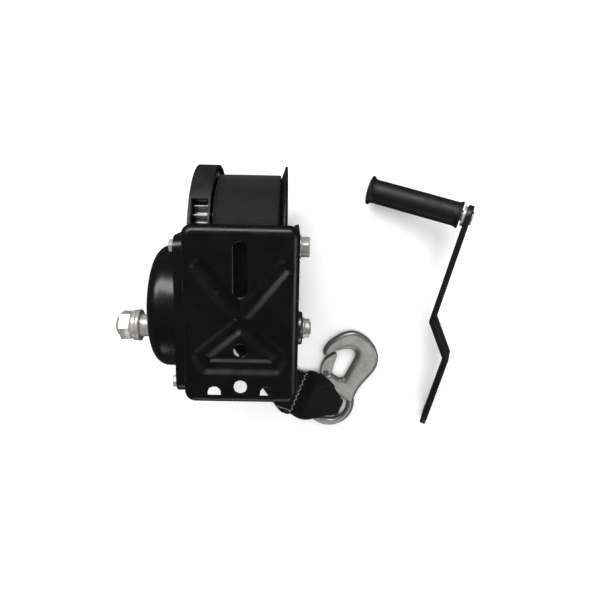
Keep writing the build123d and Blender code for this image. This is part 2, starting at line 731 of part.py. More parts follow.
def grip_pin():
    pin = along_grip(5.0, -GRIP_GAP - GRIP_LENGTH + 6, ARM_THICK / 2)
    pin += along_grip(7.5, -GRIP_GAP - GRIP_LENGTH + 3, -GRIP_GAP - GRIP_LENGTH + 6)
    pin += along_grip(6.6, ARM_THICK / 2, ARM_THICK / 2 + 1.6)
    return handle_frame() * pin


def grip_washer():
    ring = along_grip(9.5, -ARM_THICK / 2 - 2.6, -ARM_THICK / 2) - along_grip(5.05, -20, 0)
    return handle_frame() * ring


def grip_sleeve():
    start = -GRIP_GAP - GRIP_LENGTH
    stop = -GRIP_GAP + 0.6
    body = along_grip(GRIP_R, start, stop)
    body += along_grip(GRIP_LIP_R, start, start + 3) + along_grip(GRIP_LIP_R - 1.2, stop - 3, stop)
    body -= along_grip(5.05, start - 1, stop + 1)
    return handle_frame() * (body - along_grip(7.8, start - 1, start + 6.3))


# ---- write every piece ----
PIECES = {
    "frame_channel": frame_channel,
    "gear_guard": gear_guard,
    "guard_screws": guard_screws,
    "drum_gear": drum_gear,
    "pinion": pinion,
    "drum_tube": drum_tube,
    "drum_flange": drum_flange,
    "drum_bushes": drum_bushes,
    "strap_anchor_pin": strap_anchor_pin,
    "strap_roll": strap_roll,
    "drum_axle_bolt": drum_axle_bolt,
    "drum_axle_nut": drum_axle_nut,
    "drum_axle_washers": drum_axle_washers,
    "drum_spacers": drum_spacers,
    "drive_shaft": drive_shaft,
    "left_bearing_bush": left_bearing_bush,
    "right_bearing_bush": right_bearing_bush,
    "right_bearing_housing": right_bearing_housing,
    "shaft_right_washer": shaft_right_washer,
    "shaft_right_nut": shaft_right_nut,
    "pinion_collar": pinion_collar,
    "brake_flange": brake_flange,
    "friction_disc_inner": lambda: friction_disc(-67.7, -65.2),
    "friction_disc_outer": lambda: friction_disc(-75.8, -73.3),
    "brake_hub": brake_hub,
    "ratchet_wheel": ratchet_wheel,
    "ratchet_bush": ratchet_bush,
    "pawl": pawl,
    "pawl_pin": pawl_pin,
    "pawl_clip": pawl_clip,
    "pawl_spring": pawl_spring,
    "shaft_end_washer": shaft_end_washer,
    "shaft_end_nut": shaft_end_nut,
    "brake_cover": brake_cover,
    "back_plate": back_plate,
    "cover_screws": cover_screws,
    "strap_tail": strap_tail,
    "strap_loop": strap_loop,
    "snap_hook": snap_hook,
    "latch_rivet": latch_rivet,
    "snap_latch": snap_latch,
    "handle_arm": handle_arm,
    "grip_pin": grip_pin,
    "grip_washer": grip_washer,
    "grip_sleeve": grip_sleeve,
}

os.makedirs("parts", exist_ok=True)
for name, build in PIECES.items():
    export_step(build(), f"parts/{name}.step")
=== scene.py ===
"""Looks for the boat trailer winch: steel frame, geared drum, braked shaft, strap, hook and loose crank."""
import json
import math
import random

import bmesh
import bpy
import numpy as np
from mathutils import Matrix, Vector

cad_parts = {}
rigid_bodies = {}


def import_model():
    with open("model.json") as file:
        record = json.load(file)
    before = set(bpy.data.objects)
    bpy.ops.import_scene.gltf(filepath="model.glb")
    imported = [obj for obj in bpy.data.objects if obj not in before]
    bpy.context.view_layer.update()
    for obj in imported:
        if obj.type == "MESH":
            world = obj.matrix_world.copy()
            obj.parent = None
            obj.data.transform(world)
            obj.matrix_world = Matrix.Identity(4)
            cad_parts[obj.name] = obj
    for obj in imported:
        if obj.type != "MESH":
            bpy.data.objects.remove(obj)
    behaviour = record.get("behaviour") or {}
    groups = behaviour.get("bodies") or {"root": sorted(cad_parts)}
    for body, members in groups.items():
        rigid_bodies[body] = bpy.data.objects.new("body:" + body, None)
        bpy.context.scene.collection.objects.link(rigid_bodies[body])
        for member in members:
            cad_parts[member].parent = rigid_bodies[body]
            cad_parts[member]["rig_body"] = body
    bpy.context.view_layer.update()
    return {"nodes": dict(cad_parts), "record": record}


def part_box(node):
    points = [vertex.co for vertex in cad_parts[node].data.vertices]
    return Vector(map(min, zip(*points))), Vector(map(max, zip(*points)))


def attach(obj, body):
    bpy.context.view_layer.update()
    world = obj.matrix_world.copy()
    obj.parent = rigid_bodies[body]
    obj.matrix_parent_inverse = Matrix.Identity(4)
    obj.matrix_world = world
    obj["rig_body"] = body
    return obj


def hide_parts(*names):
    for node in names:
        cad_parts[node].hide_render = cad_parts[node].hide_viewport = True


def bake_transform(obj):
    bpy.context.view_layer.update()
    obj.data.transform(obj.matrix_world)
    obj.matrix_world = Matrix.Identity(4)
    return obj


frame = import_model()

MM = 0.001
NODES = frame["nodes"]
BODY_OF = {n: o["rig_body"] for n, o in NODES.items()}
SLOT_OF = {}
for row in frame["record"].get("materials", []):
    for n in row.get("nodes", []):
        SLOT_OF[n] = row["slot"]

# ---- sizes shared with the CAD, mm ----
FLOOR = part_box("handle_arm")[0].z / MM
FRAME_LOW, FRAME_HIGH = [np.array(c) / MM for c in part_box("frame_channel")]
ROLL_LOW, ROLL_HIGH = [np.array(c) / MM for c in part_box("strap_roll")]
ROLL_R = (ROLL_HIGH[1] - ROLL_LOW[1]) / 2
DRUM_Y = (ROLL_HIGH[1] + ROLL_LOW[1]) / 2
DRUM_Z = (ROLL_HIGH[2] + ROLL_LOW[2]) / 2
SHAFT_LOW, SHAFT_HIGH = [np.array(c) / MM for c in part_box("drive_shaft")]
SHAFT_Y = (SHAFT_LOW[1] + SHAFT_HIGH[1]) / 2
SHAFT_Z = (SHAFT_LOW[2] + SHAFT_HIGH[2]) / 2
SHEET = 3.5
STRAP = 1.8
TUBE_R = 22.5


# ---- mesh helpers ----
def added(name, data):
    """A new object in the scene."""
    obj = bpy.data.objects.new(name, data)
    bpy.context.scene.collection.objects.link(obj)
    return obj


def piece(name, points, faces, uv=None, smooth=True):
    """A mesh object from points in mm."""
    mesh = bpy.data.meshes.new(name)
    scaled = [tuple(p) for p in np.asarray(points, float) * MM]
    mesh.from_pydata(scaled, [], [tuple(f) for f in faces])
    if uv is not None:
        layer = mesh.uv_layers.new(name="UVMap")
        for loop in mesh.loops:
            layer.data[loop.index].uv = uv[loop.vertex_index]
    mesh.validate()
    obj = added(name, mesh)
    if smooth:
        mesh.shade_smooth()
    return obj


def applied(obj):
    """Replaces an object's mesh with what its modifiers make of it."""
    graph = bpy.context.evaluated_depsgraph_get()
    mesh = bpy.data.meshes.new_from_object(obj.evaluated_get(graph))
    obj.modifiers.clear()
    obj.data = mesh
    return obj


def outward(obj):
    """Turns every face of a closed mesh to look out of it."""
    bm = bmesh.new()
    bm.from_mesh(obj.data)
    bmesh.ops.recalc_face_normals(bm, faces=bm.faces)
    bm.to_mesh(obj.data)
    bm.free()


def finish(obj, body, material, replaces=()):
    """Gives a piece its material, its body and the CAD nodes it stands for."""
    obj.data.materials.clear()
    obj.data.materials.append(material)
    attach(obj, body)
    if replaces:
        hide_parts(*replaces)
    return obj


def grid_faces(rows, columns, wrap_rows=False, wrap_columns=False, start=0):
    """Quads over points laid out row by row."""
    faces = []
    for i in range(rows if wrap_rows else rows - 1):
        for j in range(columns if wrap_columns else columns - 1):
            a = start + i * columns + j
            b = start + i * columns + (j + 1) % columns
            c = start + ((i + 1) % rows) * columns + (j + 1) % columns
            d = start + ((i + 1) % rows) * columns + j
            faces.append((a, b, c, d))
    return faces


def edged(node, width):
    """A copy of a CAD node with its sharp edges rolled over, as a pressed or turned part has them."""
    mesh = NODES[node].data.copy()
    bm = bmesh.new()
    bm.from_mesh(mesh)
    bmesh.ops.remove_doubles(bm, verts=bm.verts, dist=2e-6)
    bmesh.ops.dissolve_limit(bm, angle_limit=math.radians(0.6), verts=bm.verts, edges=bm.edges)
    paired = [e for e in bm.edges if len(e.link_faces) == 2]
    sharp = [e for e in paired if e.calc_face_angle(0) > math.radians(28)]
    bmesh.ops.bevel(
        bm, geom=sharp, offset=width * MM, offset_type="OFFSET", segments=3,
        profile=0.5, affect="EDGES", clamp_overlap=True,
    )
    bm.to_mesh(mesh)
    bm.free()
    mesh.name = node + "_detail"
    obj = added(node + "_detail", mesh)
    mesh.shade_smooth()
    mesh.set_sharp_from_angle(angle=math.radians(40))
    return obj


# ---- materials ----
def nodes_of(name):
    """A new node material, with its tree and its shader."""
    material = bpy.data.materials.new(name)
    material.use_nodes = True
    tree = material.node_tree
    shader = tree.nodes["Principled BSDF"]
    return material, tree, shader


def noise(tree, scale, detail=4.0, vector=None, roughness=0.55):
    node = tree.nodes.new("ShaderNodeTexNoise")
    node.inputs["Scale"].default_value = scale
    node.inputs["Detail"].default_value = detail
    node.inputs["Roughness"].default_value = roughness
    if vector is not None:
        tree.links.new(vector, node.inputs["Vector"])
    return node.outputs["Fac"]


def ramp(tree, value, stops):
    """A colour ramp from a list of (position, colour)."""
    node = tree.nodes.new("ShaderNodeValToRGB")
    elements = node.color_ramp.elements
    while len(elements) < len(stops):
        elements.new(0.5)
    for element, (position, colour) in zip(elements, stops):
        element.position = position
        element.color = (*colour, 1)
    tree.links.new(value, node.inputs["Fac"])
    return node.outputs["Color"]


def remap(tree, value, low, high, to_low, to_high):
    node = tree.nodes.new("ShaderNodeMapRange")
    node.inputs["From Min"].default_value = low
    node.inputs["From Max"].default_value = high
    node.inputs["To Min"].default_value = to_low
    node.inputs["To Max"].default_value = to_high
    tree.links.new(value, node.inputs["Value"])
    return node.outputs["Result"]


def mix(tree, factor, a, b, kind="MIX"):
    node = tree.nodes.new("ShaderNodeMix")
    node.data_type = "RGBA"
    node.blend_type = kind
    for socket, value in ((node.inputs[0], factor), (node.inputs[6], a), (node.inputs[7], b)):
        if hasattr(value, "links"):
            tree.links.new(value, socket)
        elif isinstance(value, (int, float)):
            socket.default_value = value
        else:
            socket.default_value = (*value, 1)
    return node.outputs[2]


def bump(tree, shader, height, distance, strength=1.0, under=None):
    node = tree.nodes.new("ShaderNodeBump")
    node.inputs["Distance"].default_value = distance
    node.inputs["Strength"].default_value = strength
    tree.links.new(height, node.inputs["Height"])
    if under is not None:
        tree.links.new(under, node.inputs["Normal"])
    tree.links.new(node.outputs["Normal"], shader.inputs["Normal"])
    return node.outputs["Normal"]


def place(tree, output="Object"):
    coords = tree.nodes.new("ShaderNodeTexCoord")
    return coords.outputs[output]


def painted(name, dark, light, scuff, rough=(0.24, 0.42), scuffs=0.66):
    """Sprayed or dipped paint over pressed steel: orange peel, dust, and dull scuffs."""
    peel_height = 3e-5
    material, tree, shader = nodes_of(name)
    where = place(tree)
    tone = ramp(tree, noise(tree, 22, 6, where), [(0.3, dark), (0.72, light)])
    rubbing = noise(tree, 95, 9, where, 0.72)
    rub = ramp(tree, rubbing, [(scuffs, (0, 0, 0)), (scuffs + 0.1, (1, 1, 1))])
    patch = ramp(tree, noise(tree, 14, 3, where), [(0.5, (0, 0, 0)), (0.62, (1, 1, 1))])
    worn = mix(tree, 1.0, rub, patch, "MULTIPLY")
    tree.links.new(mix(tree, worn, tone, scuff), shader.inputs["Base Color"])
    dull = remap(tree, noise(tree, 60, 7, where, 0.65), 0.3, 0.75, *rough)
    tree.links.new(dull, shader.inputs["Roughness"])
    shader.inputs["Coat Weight"].default_value = 0.06
    shader.inputs["Coat Roughness"].default_value = 0.12
    peel = bump(tree, shader, noise(tree, 900, 2, where), peel_height, 0.5)
    bump(tree, shader, noise(tree, 160, 3, where), peel_height * 3, 0.35, peel)
    return material


def moulded(name, dark, light, rough=(0.42, 0.6), grain=5e-5):
    """Injection-moulded plastic with a fine spark-eroded grain."""
    material, tree, shader = nodes_of(name)
    where = place(tree)
    tone = ramp(tree, noise(tree, 35, 5, where), [(0.3, dark), (0.7, light)])
    tree.links.new(tone, shader.inputs["Base Color"])
    dull = remap(tree, noise(tree, 120, 5, where), 0.3, 0.7, *rough)
    tree.links.new(dull, shader.inputs["Roughness"])
    bump(tree, shader, noise(tree, 2600, 3, where), grain, 0.6)
    return material


def plated(name, dark, light, rough=(0.28, 0.45), metallic=1.0, grain=4e-5, stain=None):
    """Plated or bare metal with cloudy patches, fine pits and handling marks."""
    material, tree, shader = nodes_of(name)
    where = place(tree)
    tone = ramp(tree, noise(tree, 70, 8, where, 0.6), [(0.28, dark), (0.7, light)])
    if stain is not None:
        speckle = noise(tree, 210, 6, where, 0.7)
        spots = ramp(tree, speckle, [(0.6, (0, 0, 0)), (0.72, (1, 1, 1))])
        tone = mix(tree, spots, tone, stain)
    tree.links.new(tone, shader.inputs["Base Color"])
    shader.inputs["Metallic"].default_value = metallic
    dull = remap(tree, noise(tree, 240, 6, where), 0.3, 0.7, *rough)
    tree.links.new(dull, shader.inputs["Roughness"])
    pits = bump(tree, shader, noise(tree, 1500, 3, where), grain, 0.5)
    bump(tree, shader, noise(tree, 300, 2, where), grain * 2, 0.3, pits)
    return material


def woven(name, dark, light):
    """Polyester webbing: warp ribs along the strap crossed by fine picks, with a soft sheen."""
    one_wave = 0.314
    warp_pitch = 1.1
    pick_pitch = 1.5
    material, tree, shader = nodes_of(name)
    where = place(tree, "UV")

    def wave(direction, per_mm, distortion):
        node = tree.nodes.new("ShaderNodeTexWave")
        node.bands_direction = direction
        node.wave_profile = "SIN"
        node.inputs["Scale"].default_value = per_mm
        node.inputs["Distortion"].default_value = distortion
        node.inputs["Detail"].default_value = 1.5
        node.inputs["Detail Scale"].default_value = 2.0
        tree.links.new(where, node.inputs["Vector"])
        return node.outputs["Fac"]

    warp = wave("X", one_wave / warp_pitch, 0.25)
    pick = wave("Y", one_wave / pick_pitch, 0.35)
    weave = mix(tree, 0.35, mix(tree, 1.0, warp, pick, "MULTIPLY"), pick, "MIX")
    cloud = noise(tree, 0.08, 5, where)
    tone = mix(tree, remap(tree, cloud, 0.3, 0.7, 0.0, 1.0), dark, light)
    thread = ramp(tree, weave, [(0.1, (0.7, 0.7, 0.7)), (0.75, (1.15, 1.15, 1.15))])
    tree.links.new(mix(tree, 1.0, tone, thread, "MULTIPLY"), shader.inputs["Base Color"])
    tree.links.new(remap(tree, weave, 0, 1, 0.78, 0.52), shader.inputs["Roughness"])
    shader.inputs["Sheen Weight"].default_value = 0.06
    shader.inputs["Sheen Roughness"].default_value = 0.45
    shader.inputs["Specular IOR Level"].default_value = 0.3
    bump(tree, shader, weave, 1.4e-4, 0.6)
    return material


PAINT = painted("black_paint", (0.0014, 0.0014, 0.0016), (0.0034, 0.0034, 0.0036), (0.02, 0.02, 0.019))
DOME_PAINT = painted(
    "cover_paint", (0.0024, 0.0024, 0.0025), (0.0046, 0.0046, 0.0047), (0.02, 0.02, 0.02), (0.2, 0.34)
)
ARM_PAINT = painted(
    "crank_paint", (0.0045, 0.004, 0.0042), (0.0095, 0.0088, 0.0092), (0.05, 0.045, 0.04),
    (0.3, 0.46), scuffs=0.6,
)
FLANGE_PAINT = painted(
    "drum_paint", (0.003, 0.003, 0.0033), (0.006, 0.006, 0.0066), (0.03, 0.03, 0.03)
)
GUARD = moulded("guard_plastic", (0.0065, 0.0062, 0.0072), (0.0105, 0.0102, 0.0115))
GRIP = moulded("grip_plastic", (0.0028, 0.0028, 0.0032), (0.0052, 0.0052, 0.0058), (0.42, 0.56))
ZINC = plated(
    "zinc_plate", (0.44, 0.43, 0.40), (0.74, 0.72, 0.68), (0.26, 0.42), 0.6, stain=(0.3, 0.27, 0.2)
)
HOOK = plated("hook_zinc", (0.26, 0.265, 0.25), (0.40, 0.405, 0.38), (0.28, 0.40), 0.85, 6e-5)
STEEL = plated(
    "dark_steel", (0.16, 0.16, 0.165), (0.34, 0.34, 0.35), (0.25, 0.42), 1.0, stain=(0.06, 0.05, 0.04)
)
BRONZE = plated("bronze", (0.42, 0.26, 0.12), (0.62, 0.42, 0.2), (0.3, 0.45), 1.0)
LINING = moulded("friction_lining", (0.05, 0.04, 0.033), (0.11, 0.09, 0.075), (0.7, 0.85), 1.2e-4)
WEBBING = woven("webbing", (0.0035, 0.0032, 0.0042), (0.0065, 0.006, 0.0072))
THREAD = moulded("stitch_thread", (0.16, 0.15, 0.145), (0.34, 0.32, 0.31), (0.6, 0.75), 8e-5)
BY_SLOT = {
    "black_paint": PAINT, "guard_plastic": GUARD, "zinc": ZINC, "hook_zinc": HOOK, "dark_steel": STEEL,
    "bronze": BRONZE, "lining": LINING, "webbing": WEBBING, "grip_plastic": GRIP,
}


# ---- the pressed frame ----
GROOVES = [
    ((0, 27), (32.5, 66.5)), ((0, 27), (-32.5, 66.5)), ((0, 22), (32, -5.5)), ((0, 22), (-32, -5.5)),
    ((32, -5.5), (27, -13.5)), ((-32, -5.5), (-27, -13.5)), ((-27, -13.5), (27, -13.5)), ((0, 20), (0, 29)),
]
# each hole: one end of its centre line, the other end, radius
HOLES = [
    ((0, 0), (0, 0), 5.25), ((0, -30.3), (0, -30.3), 5.25), ((21, -35.8), (21, -35.8), 5.25),
    ((-21, -35.8), (-21, -35.8), 5.25), ((0, 48), (0, 80.8), 5.4),
]
# shallow dents and press marks: x, y, radius, depth
DENTS = [
    (-19.5, 47.5, 2.4, 0.5), (-16.5, 45.5, 2.0, -0.35), (-33.0, 45.0, 2.0, 0.2), (-13.0, 41.0, 2.6, 0.25),
    (-20.0, 61.0, 1.8, 0.22), (14.0, 47.5, 4.0, 0.2), (-36.0, 30.0, 5.0, 0.12), (-26.0, 34.0, 7.0, 0.15),
    (27.0, 20.0, 9.0, 0.12), (-30.0, -26.0, 2.2, 0.35), (31.0, -8.5, 2.2, 0.3), (0.5, 15.5, 2.6, 0.3),
    (12.0, 78.0, 10.0, 0.15), (-25.0, 80.0, 11.0, 0.18),
]
GROOVE_FLOOR = 2.0
GROOVE_HALF = 7.6
GROOVE_DEEP = 2.6
# y and depth along the lower rim of a side plate
SIDE_RIM = [(-45.1, 62), (-30, 112), (86, 112), (98.4, 62)]
END_LIP = 8.0
FRAME_BEND = 6.8
FRAME_CORNER = 8.6
BEND_RINGS = 6
WALL_RINGS = 12
AXLE_BORE = 6.3
BEARING_BORE = 13.0


def to_segment(points, a, b):
    """Distance and direction from a segment, for points in plan."""
    a, b = np.array(a, float), np.array(b, float)
    along = b - a
    length = max(along @ along, 1e-9)
    t = np.clip(((points - a) @ along) / length, 0, 1)
    off = points - (a + t[:, None] * along)
    return np.linalg.norm(off, axis=1), off


def soft_step(x):
    x = np.clip(x, 0, 1)
    return x * x * (3 - 2 * x)


def emboss(points):
    """Height of the pressed-in stiffening grooves, mm, with plane flanks and tight radii."""
    distance = np.full(len(points), 99.0)
    for a, b in GROOVES:
        distance = np.minimum(distance, to_segment(points, a, b)[0])
    rise = (distance - GROOVE_FLOOR) / (GROOVE_HALF - GROOVE_FLOOR)
    blended = 0.75 * np.clip(rise, 0, 1) + 0.25 * soft_step(rise)
    height = -GROOVE_DEEP * (1 - blended)
    for x, y, wide, deep in DENTS:
        height -= deep * np.exp(-((points[:, 0] - x) ** 2 + (points[:, 1] - y) ** 2) / wide**2)
    return height


def side_depth(y):
    """How far down a side plate reaches at y."""
    return np.interp(y, [p[0] for p in SIDE_RIM], [p[1] for p in SIDE_RIM])


def build_frame():
    """The pressed channel: an embossed plate rolled over all round into walls."""
    roll = FRAME_BEND
    half = np.array([(FRAME_HIGH[0] - FRAME_LOW[0]) / 2, (FRAME_HIGH[1] - FRAME_LOW[1]) / 2])
    centre = np.array([0.0, (FRAME_HIGH[1] + FRAME_LOW[1]) / 2])
    inner = half - roll
    nx, ny = 104, 170
    gx = np.linspace(-inner[0], inner[0], nx + 1)
    gy = np.linspace(-inner[1], inner[1], ny + 1)
    plan = np.array([(x, y) for y in gy for x in gx])
    flat = inner - (FRAME_CORNER - roll)
    d = np.abs(plan) - flat
    both = (d > 0).all(axis=1)
    dx, dy = d[both, 0], d[both, 1]
    m = np.maximum(dx, dy)
    phi = np.where(dx >= dy, math.pi / 4 * dy / np.maximum(dx, 1e-9),
                   math.pi / 2 - math.pi / 4 * dx / np.maximum(dy, 1e-9))
    plan[both] = np.sign(plan[both]) * (flat + np.stack([m * np.cos(phi), m * np.sin(phi)], 1))
    world = plan + centre
    cell = gx[1] - gx[0]
    gap = np.full(len(world), 99.0)
    push = np.zeros_like(world)
    for a, b, radius in HOLES:
        distance, off = to_segment(world, a, b)
        signed = distance - radius
        closer = signed < gap
        gap = np.where(closer, signed, gap)
        unit = off / np.maximum(distance, 1e-9)[:, None]
        push = np.where(closer[:, None], -signed[:, None] * unit, push)
    faces = grid_faces(ny + 1, nx + 1)
    kept = [f for f in faces if sum(gap[list(f)]) / 4 > 0]
    used = set(v for f in kept for v in f)
    snap = (gap < 0.42 * cell)
    snap &= np.array([i in used for i in range(len(world))])
    world[snap] += push[snap]
    gap = np.where(snap, 0, gap)
    z = emboss(world) - 0.55 * np.exp(-np.maximum(gap, 0) / 0.55)
    points = [tuple(p) + (h,) for p, h in zip(world, z)]
    loop = list(range(nx + 1))
    loop += [(j + 1) * (nx + 1) - 1 for j in range(1, ny + 1)]
    loop += [ny * (nx + 1) + i for i in range(nx - 1, -1, -1)]
    loop += [j * (nx + 1) for j in range(ny - 1, 0, -1)]
    base = world[loop]
    local = base - centre
    out = np.sign(local) * np.maximum(np.abs(local) - flat, 0)
    out /= np.maximum(np.linalg.norm(out, axis=1), 1e-9)[:, None]
    rings = []
    for k in range(1, BEND_RINGS + 1):
        angle = math.pi / 2 * k / BEND_RINGS
        ring = base + out * roll * math.sin(angle)
        rings.append([(*p, -roll * (1 - math.cos(angle))) for p in ring])
    wall = base + out * roll
    sideness = soft_step((np.abs(out[:, 0]) - 0.55) / 0.35)
    depth = END_LIP + (side_depth(wall[:, 1]) - END_LIP) * sideness
    for k in range(1, WALL_RINGS + 1):
        share = (k / WALL_RINGS) ** 1.3
        rings.append([(*p, -(roll + (dz - roll) * share)) for p, dz in zip(wall, depth)])
    count = len(loop)
    start = len(points)
    faces = list(kept)
    previous = loop
    for ring in rings:
        ids = list(range(start, start + count))
        points += ring
        start += count
        for i in range(count):
            j = (i + 1) % count
            faces.append((previous[j], previous[i], ids[i], ids[j]))
        previous = ids
    bm = bmesh.new()
    verts = [bm.verts.new(np.array(p) * MM) for p in points]
    for f in faces:
        bm.faces.new([verts[i] for i in f])
    bmesh.ops.delete(bm, geom=[v for v in bm.verts if not v.link_faces], context="VERTS")
    mesh = bpy.data.meshes.new("frame_shell")
    bm.to_mesh(mesh)
    bm.free()
    obj = added("frame_shell", mesh)
    thick = obj.modifiers.new("thick", "SOLIDIFY")
    thick.thickness = SHEET * MM
    thick.offset = -1
    thick.use_even_offset = True
    applied(obj)
    cutters = []
    turn = np.linspace(0, 2 * math.pi, 73)[:-1]
    sides = grid_faces(2, 72, wrap_columns=True)
    caps = [tuple(range(72)), tuple(range(143, 71, -1))]
    for radius, y, z in ((AXLE_BORE, DRUM_Y, DRUM_Z), (BEARING_BORE, SHAFT_Y, SHAFT_Z)):
        rings = [[(x, y + radius * math.cos(a), z + radius * math.sin(a)) for a in turn] for x in (-60, 60)]
        cutters.append(piece("cutter", rings[0] + rings[1], sides + caps, smooth=False))
    for cutter in cutters:
        cut = obj.modifiers.new("cut", "BOOLEAN")
        cut.operation = "DIFFERENCE"
        cut.solver = "EXACT"
        cut.object = cutter
    applied(obj)
    for cutter in cutters:
        bpy.data.objects.remove(cutter)
    edge = obj.modifiers.new("edge", "BEVEL")
    edge.width = 0.45 * MM
    edge.segments = 2
    edge.limit_method = "ANGLE"
    edge.angle_limit = math.radians(50)
    applied(obj)
    obj.data.shade_smooth()
    obj.data.set_sharp_from_angle(angle=math.radians(38))
    return finish(obj, "frame", PAINT, ["frame_channel"])


build_frame()


# ---- wound strap ----
def build_roll():
    """The wound webbing: a crowned outer turn and flanks made of many strap edges."""
    rng = random.Random(11)
    x0, x1 = ROLL_LOW[0], ROLL_HIGH[0]
    turns = int((ROLL_R - TUBE_R) / STRAP)
    offsets = [rng.uniform(0.0, 0.7) for _ in range(turns + 1)]
    flank = []
    for k in range(turns):
        low = TUBE_R + k * STRAP
        shift = offsets[k] if k < turns - 1 else 0.15
        for part, depth in ((0.06, 1.15), (0.25, 0.3), (0.5, 0.0), (0.75, 0.3), (0.94, 1.15)):
            flank.append((low + part * STRAP, 0.25 + shift + 0.55 * depth))
    left = [(x0 + inset, radius) for radius, inset in flank]
    right = [(x1 - inset, radius) for radius, inset in reversed(flank)]
    top_r = left[-1][1]
    top = []
    for t in np.linspace(0.012, 0.988, 40):
        crown = min(1, 9 * t * (1 - t) + 0.45)
        top.append((x0 + (x1 - x0) * t, top_r + (ROLL_R - top_r) * crown - 0.12 * abs(2 * t - 1) ** 6))
    profile = left + top + right
    steps = 220
    points, uv = [], []
    for i in range(steps):
        a = 2 * math.pi * i / steps
        for x, radius in profile:
            wobble = 0.12 * math.sin(3 * a + 0.06 * x) + 0.06 * math.sin(11 * a) if radius > 50 else 0
            rr = radius + min(0, wobble - 0.18)
            points.append((x, DRUM_Y + rr * math.cos(a), DRUM_Z + rr * math.sin(a)))
            uv.append((x if radius > 61 else radius, i * 2 * math.pi * 62 / steps))
    faces = grid_faces(steps, len(profile), wrap_rows=True)
    obj = piece("webbing_roll", points, faces, uv)
    outward(obj)
    return finish(obj, "drum", WEBBING, ["strap_roll"])


build_roll()

# ---- strap tail, folded over and sewn into the hook's loop ----
HEADING = math.radians(-20)
SEW = np.array((50.9, -93.2))
HOOK_AT = np.array((83.3, -102.0))
HOOK_TURN = math.radians(-16.8)
RUN = np.array((math.cos(HEADING), math.sin(HEADING)))
ASIDE = np.array((-math.sin(HEADING), math.cos(HEADING)))
HOOK_Z = FLOOR + 6.0
RING_PLAN = ((HOOK_AT - SEW) @ RUN, (HOOK_AT - SEW) @ ASIDE)
RING_MIDDLE = 22.0
STRAP_X = (ROLL_LOW[0] + ROLL_HIGH[0]) / 2
HALF = (ROLL_HIGH[0] - ROLL_LOW[0]) / 2 - 0.3


def closed_sheet(name, middle, thick, uv_mid):
    """A closed thin mesh about a grid of mid-surface points, thinner at its two long edges."""
    rows, columns = middle.shape[:2]
    du, dv = np.gradient(middle, axis=0), np.gradient(middle, axis=1)
    normal = np.cross(du, dv)
    normal /= np.maximum(np.linalg.norm(normal, axis=2), 1e-9)[:, :, None]
    v = np.linspace(-1, 1, columns)
    profile = thick / 2 * np.sqrt(np.clip(1 - np.abs(v) ** 14, 0.05, 1))
    up = middle + normal * profile[None, :, None]
    down = middle - normal * profile[None, :, None]
    points = np.concatenate([up.reshape(-1, 3), down.reshape(-1, 3)])
    uv = np.concatenate([uv_mid.reshape(-1, 2), uv_mid.reshape(-1, 2)])
    half = rows * columns
    faces = grid_faces(rows, columns)
    faces += [tuple(reversed([i + half for i in f])) for f in grid_faces(rows, columns)]
    for i in range(rows - 1):
        for j in (0, columns - 1):
            a, b = i * columns + j, (i + 1) * columns + j
            quad = (a, b, b + half, a + half)
            faces.append(quad if j == 0 else tuple(reversed(quad)))
    for i in (0, rows - 1):
        for j in range(columns - 1):
            a, b = i * columns + j, i * columns + j + 1
            quad = (a, b, b + half, a + half)
            faces.append(tuple(reversed(quad)) if i == 0 else quad)
    obj = piece(name, points, faces, uv)
    outward(obj)
    obj.data.set_sharp_from_angle(angle=math.radians(60))
    return obj


def strap_plan(x, y, z):
    """A point given along and across the strap beside the winch, in the build frame."""
    p = SEW + np.asarray(x)[..., None] * RUN + np.asarray(y)[..., None] * ASIDE
    return np.concatenate([p, np.broadcast_to(np.asarray(z, float), p.shape[:-1])[..., None]], -1)


def ring_lift(x, y):
    """How far webbing is raised where it lies over the hook's ring bar, from 0 to 1."""
    radial = np.hypot(x - RING_PLAN[0], y - RING_PLAN[1])
    beyond = np.where((y > 6) & (radial > RING_MIDDLE), 1 - soft_step((x - 10) / 10), 1)
    off = np.abs(radial - RING_MIDDLE) * beyond
    return np.exp(-(off / 6.5) ** 2)


